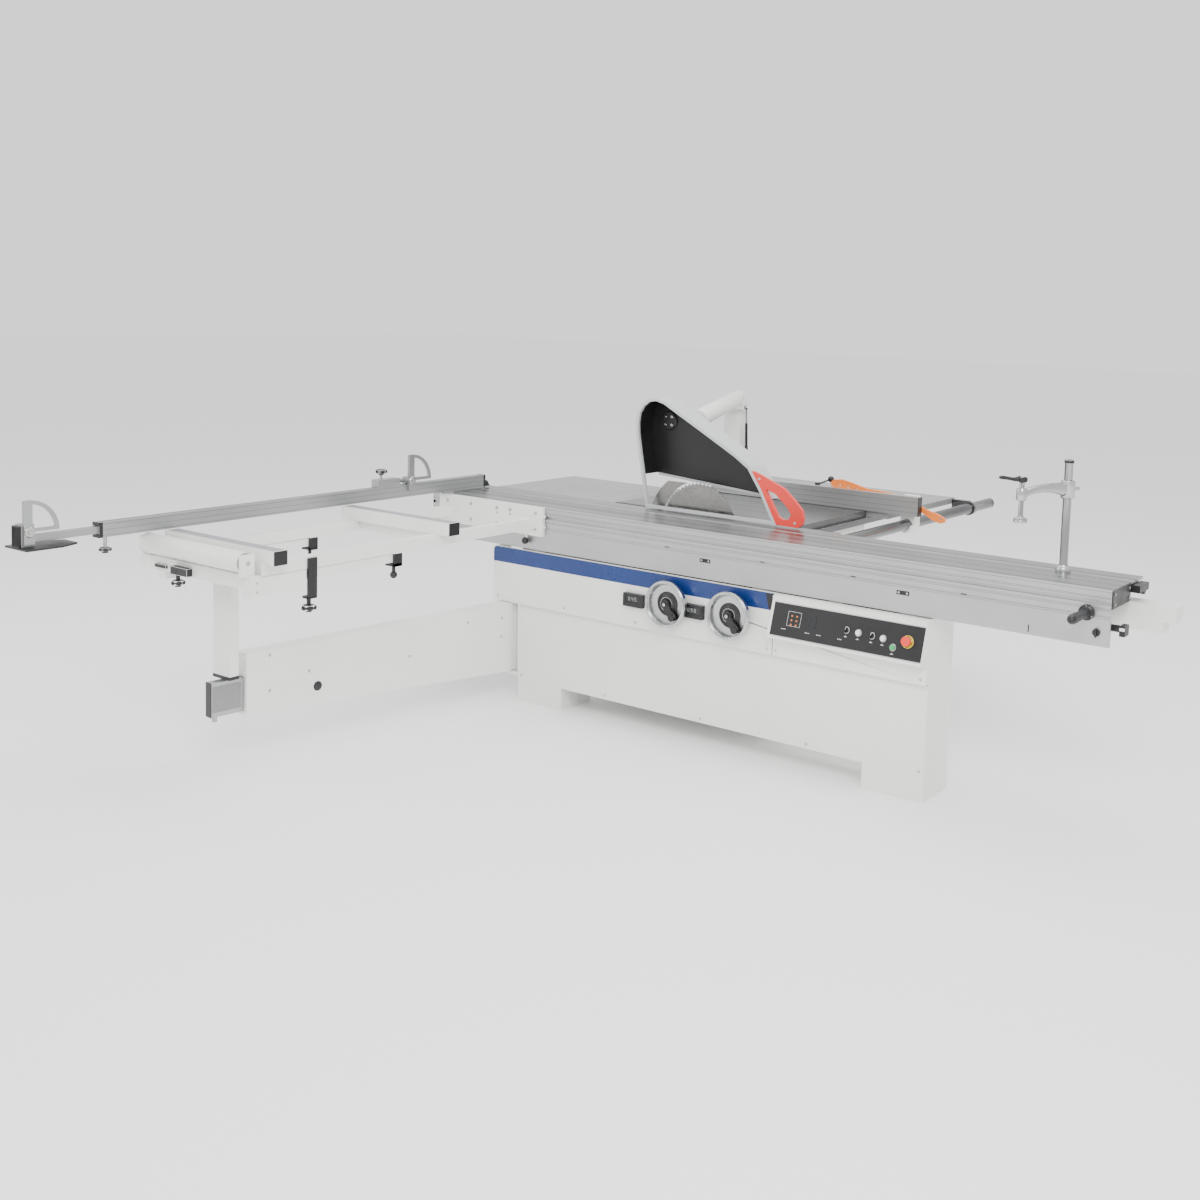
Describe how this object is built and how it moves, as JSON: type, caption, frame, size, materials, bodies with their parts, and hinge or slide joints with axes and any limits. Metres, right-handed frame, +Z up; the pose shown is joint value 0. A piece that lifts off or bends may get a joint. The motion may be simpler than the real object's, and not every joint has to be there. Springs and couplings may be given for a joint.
{
  "type": "panel saw",
  "caption": "Panel saw with a sliding table, crosscut frame on a swing arm, overhead guard, rip fence and a tilting saw unit.",
  "frame": {"origin": "on the floor, at the middle of the front base's four floor-bolt holes", "axes": "+X along the sliding carriage towards the operator's end, +Y from the sliding carriage towards the rip fence, +Z up"},
  "size_m": [3.365, 4.078, 1.4],
  "materials": {
    "white_paint": "satin powder coat",
    "blue_band": "satin",
    "dark_panel": "matt",
    "black_plastic": "fine grain",
    "white_plastic": "gloss",
    "green_plastic": "gloss",
    "red_plastic": "gloss",
    "orange_plastic": "moulded",
    "anodised": "anodised",
    "polished_aluminium": "turned and polished",
    "ground_iron": "ground face",
    "zinc_sheet": "grey coat",
    "dark_casting": "painted grey",
    "motor_paint": "satin",
    "steel": "ground",
    "bar_steel": "hard chrome",
    "belt_rubber": "matt"
  },
  "bodies": {
    "base": {"base_cabinet": "white_paint", "feet": "white_paint", "upper_cover": "white_paint", "colour_band": "blue_band", "control_console": "white_paint", "control_panel": "dark_panel", "main_body": "white_paint", "cast_table": "ground_iron", "extension_tables": "zinc_sheet", "guide_beam": "white_paint", "guard_post": "white_paint", "guide_bar": "bar_steel"},
    "selector_knob": {"selector_knob": "black_plastic"},
    "mode_knob": {"mode_knob": "black_plastic"},
    "white_button": {"white_button": "white_plastic"},
    "reset_button": {"reset_button": "white_plastic"},
    "start_button": {"start_button": "green_plastic"},
    "emergency_stop": {"emergency_stop": "red_plastic"},
    "tilt_frame": {"tilt_frame": "dark_casting", "scoring_motor": "dark_casting"},
    "lift": {"arbor_housing": "dark_casting", "main_motor": "motor_paint", "riving_knife": "steel", "drive_belt": "belt_rubber"},
    "arbor": {"saw_arbor": "steel", "main_blade": "steel"},
    "motor_rotor": {"motor_pulley": "steel"},
    "scorer": {"scoring_blade": "steel"},
    "tilt_wheel": {"tilt_handwheel": "polished_aluminium"},
    "lift_wheel": {"lift_handwheel": "polished_aluminium"},
    "tilt_lock": {"tilt_crank": "black_plastic"},
    "lift_lock": {"lift_crank": "black_plastic"},
    "roller_cage": {"roller_cage": "dark_casting"},
    "carriage": {"sliding_carriage": "anodised", "carriage_fittings": "black_plastic", "clamp_column": "steel"},
    "clamp_arm": {"clamp_arm": "polished_aluminium"},
    "clamp_screw": {"clamp_screw": "steel"},
    "clamp_lever": {"clamp_lever": "black_plastic"},
    "frame": {"frame_beams": "white_paint"},
    "roller_extension": {"roller_extension": "white_paint"},
    "support_roller": {"support_roller": "white_paint"},
    "fence": {"crosscut_fence": "anodised"},
    "fence_extension": {"fence_extension": "anodised"},
    "end_stop": {"end_stop": "anodised"},
    "stop_block": {"stop_block": "anodised"},
    "flip_stop": {"flip_stop": "anodised"},
    "swing_arm": {"swing_arm": "white_paint"},
    "inner_arm": {"inner_arm": "anodised"},
    "guard_arm": {"guard_arm": "white_paint"},
    "hood": {"guard_hood": "anodised", "guard_shell": "black_plastic", "guard_handle": "red_plastic"},
    "strut_body": {"strut_body": "black_plastic"},
    "strut_rod": {"strut_rod": "steel"},
    "rip_casting": {"rip_casting": "white_paint", "push_stick": "orange_plastic"},
    "rip_fence": {"rip_fence": "anodised"},
    "rip_lever": {"rip_lever": "black_plastic"},
    "cam_lever": {"cam_lever": "black_plastic"}
  },
  "joints": [
    {"name": "selector_knob_turn", "type": "hinge", "parent": "base", "child": "selector_knob", "pos_m": [0.682, -0.1567, 0.61295], "axis": [0, -0.9599, 0.2803], "range_deg": [-45, 45]},
    {"name": "mode_knob_turn", "type": "hinge", "parent": "base", "child": "mode_knob", "pos_m": [0.789, -0.15782, 0.60911], "axis": [0, -0.9599, 0.2803], "range_deg": [-45, 45]},
    {"name": "white_button_press", "type": "slide", "parent": "base", "child": "white_button", "axis": [0, 0.9599, -0.2803], "range_m": [0, 0.003], "stiffness_N_per_m": 300},
    {"name": "reset_button_press", "type": "slide", "parent": "base", "child": "reset_button", "axis": [0, 0.9599, -0.2803], "range_m": [0, 0.003], "stiffness_N_per_m": 300},
    {"name": "start_button_press", "type": "slide", "parent": "base", "child": "start_button", "axis": [0, 0.9599, -0.2803], "range_m": [0, 0.003], "stiffness_N_per_m": 300},
    {"name": "emergency_stop_press", "type": "slide", "parent": "base", "child": "emergency_stop", "axis": [0, 0.9599, -0.2803], "range_m": [0, 0.006], "stiffness_N_per_m": 300},
    {"name": "blade_tilt", "type": "hinge", "parent": "base", "child": "tilt_frame", "pos_m": [0, 0.262, 0.9], "axis": [-1, 0, 0], "range_deg": [0, 45]},
    {"name": "blade_lift", "type": "slide", "parent": "tilt_frame", "child": "lift", "axis": [0, 0, 1], "range_m": [-0.15, 0]},
    {"name": "arbor_spin", "type": "hinge", "parent": "lift", "child": "arbor", "pos_m": [-0.28, 0.262, 0.836], "axis": [0, 1, 0], "continuous": true},
    {"name": "motor_spin", "type": "hinge", "parent": "lift", "child": "motor_rotor", "pos_m": [-0.13, 0.45, 0.65], "axis": [0, 1, 0], "continuous": true},
    {"name": "scorer_spin", "type": "hinge", "parent": "tilt_frame", "child": "scorer", "pos_m": [0.015, 0.262, 0.843], "axis": [0, 1, 0], "continuous": true},
    {"name": "tilt_wheel_turn", "type": "hinge", "parent": "base", "child": "tilt_wheel", "pos_m": [-0.142, -0.152, 0.587], "axis": [0, -1, 0], "range_deg": [0, 1080]},
    {"name": "lift_wheel_turn", "type": "hinge", "parent": "base", "child": "lift_wheel", "pos_m": [0.163, -0.152, 0.587], "axis": [0, -1, 0], "range_deg": [-1080, 0]},
    {"name": "tilt_lock_turn", "type": "hinge", "parent": "tilt_wheel", "child": "tilt_lock", "pos_m": [-0.142, -0.152, 0.587], "axis": [0, -1, 0], "range_deg": [-45, 45]},
    {"name": "lift_lock_turn", "type": "hinge", "parent": "lift_wheel", "child": "lift_lock", "pos_m": [0.163, -0.152, 0.587], "axis": [0, -1, 0], "range_deg": [-45, 45]},
    {"name": "carriage_slide", "type": "slide", "parent": "base", "child": "carriage", "axis": [1, 0, 0], "range_m": [-1.6, 0.85]},
    {"name": "cage_slide", "type": "slide", "parent": "base", "child": "roller_cage", "axis": [1, 0, 0], "range_m": [-0.8, 0.425]},
    {"name": "clamp_swivel", "type": "hinge", "parent": "carriage", "child": "clamp_arm", "pos_m": [1.395, 0.135, 1.19], "axis": [0, 0, 1], "range_deg": [-80, 80]},
    {"name": "clamp_press", "type": "slide", "parent": "clamp_arm", "child": "clamp_screw", "axis": [0, 0, -1], "range_m": [0, 0.02]},
    {"name": "clamp_lever_turn", "type": "hinge", "parent": "clamp_screw", "child": "clamp_lever", "pos_m": [1.3112, -0.09523, 1.246], "axis": [-0.9397, 0.342, 0], "range_deg": [0, 90]},
    {"name": "frame_slide", "type": "slide", "parent": "carriage", "child": "frame", "axis": [1, 0, 0], "range_m": [-0.06, 0.9]},
    {"name": "extension_slide", "type": "slide", "parent": "frame", "child": "roller_extension", "axis": [0, -1, 0], "range_m": [0, 0.1]},
    {"name": "support_roller_spin", "type": "hinge", "parent": "roller_extension", "child": "support_roller", "pos_m": [-1.2, -1.673, 0.861], "axis": [1, 0, 0], "continuous": true},
    {"name": "fence_swing", "type": "hinge", "parent": "frame", "child": "fence", "pos_m": [-1.45, -0.117, 0.9], "axis": [0, 0, 1], "range_deg": [0, 45]},
    {"name": "fence_stretch", "type": "slide", "parent": "fence", "child": "fence_extension", "axis": [0, -1, 0], "range_m": [-0.08, 0.7]},
    {"name": "end_stop_flip", "type": "hinge", "parent": "fence_extension", "child": "end_stop", "pos_m": [-1.47, -2.164, 0.962], "axis": [1, 0, 0], "range_deg": [0, 90]},
    {"name": "stop_slide", "type": "slide", "parent": "fence", "child": "stop_block", "axis": [0, 1, 0], "range_m": [-1.2, 0.4]},
    {"name": "flip_stop_flip", "type": "hinge", "parent": "stop_block", "child": "flip_stop", "pos_m": [-1.49, -0.335, 0.9813], "axis": [0, -1, 0], "range_deg": [0, 90]},
    {"name": "arm_swing", "type": "hinge", "parent": "base", "child": "swing_arm", "pos_m": [-1.065, -0.075, 0.3], "axis": [0, 0, 1], "range_deg": [-48, 25.5]},
    {"name": "arm_stretch", "type": "slide", "parent": "swing_arm", "child": "inner_arm", "axis": [-0.0982, -0.9952, 0], "range_m": [0, 0.82]},
    {"name": "guard_raise", "type": "hinge", "parent": "base", "child": "guard_arm", "pos_m": [-0.8, 1.355, 1.33], "axis": [-0.9232, -0.3843, 0], "range_deg": [0, 25]},
    {"name": "hood_level", "type": "hinge", "parent": "guard_arm", "child": "hood", "pos_m": [-0.39281, 0.37678, 1.3004], "axis": [0.9232, 0.3843, 0], "range_deg": [0, 25]},
    {"name": "strut_swing", "type": "hinge", "parent": "base", "child": "strut_body", "pos_m": [-0.79039, 1.33192, 1.075], "axis": [0.9232, 0.3843, 0], "range_deg": [0, 0.75]},
    {"name": "strut_slide", "type": "slide", "parent": "strut_body", "child": "strut_rod", "axis": [0.0787, -0.1891, 0.9788], "range_m": [0, 0.0349]},
    {"name": "rip_slide", "type": "slide", "parent": "base", "child": "rip_casting", "axis": [0, 1, 0], "range_m": [-0.58, 0.6]},
    {"name": "rip_profile_slide", "type": "slide", "parent": "rip_casting", "child": "rip_fence", "axis": [1, 0, 0], "range_m": [-0.45, 0.05]},
    {"name": "rip_lever_turn", "type": "hinge", "parent": "rip_fence", "child": "rip_lever", "pos_m": [-0.075, 0.943, 0.99], "axis": [0, 0, 1], "range_deg": [-40, 30]},
    {"name": "cam_lever_turn", "type": "hinge", "parent": "rip_fence", "child": "cam_lever", "pos_m": [-0.4, 0.943, 0.99], "axis": [0, 0, 1], "range_deg": [-90, 20]}
  ],
  "couplings": [
    {"joint": "motor_spin", "follows": "arbor_spin", "ratio": 1},
    {"joint": "tilt_wheel_turn", "follows": "blade_tilt", "ratio": 24},
    {"joint": "lift_wheel_turn", "follows": "blade_lift", "rad_per_m": 125.66},
    {"joint": "cage_slide", "follows": "carriage_slide", "ratio": 0.5},
    {"joint": "arm_swing", "follows": "carriage_slide", "rad_per_m": 0.5236},
    {"joint": "hood_level", "follows": "guard_raise", "ratio": 1},
    {"joint": "strut_swing", "follows": "guard_raise", "ratio": 0.0296},
    {"joint": "strut_slide", "follows": "guard_raise", "m_per_rad": 0.0797}
  ]
}
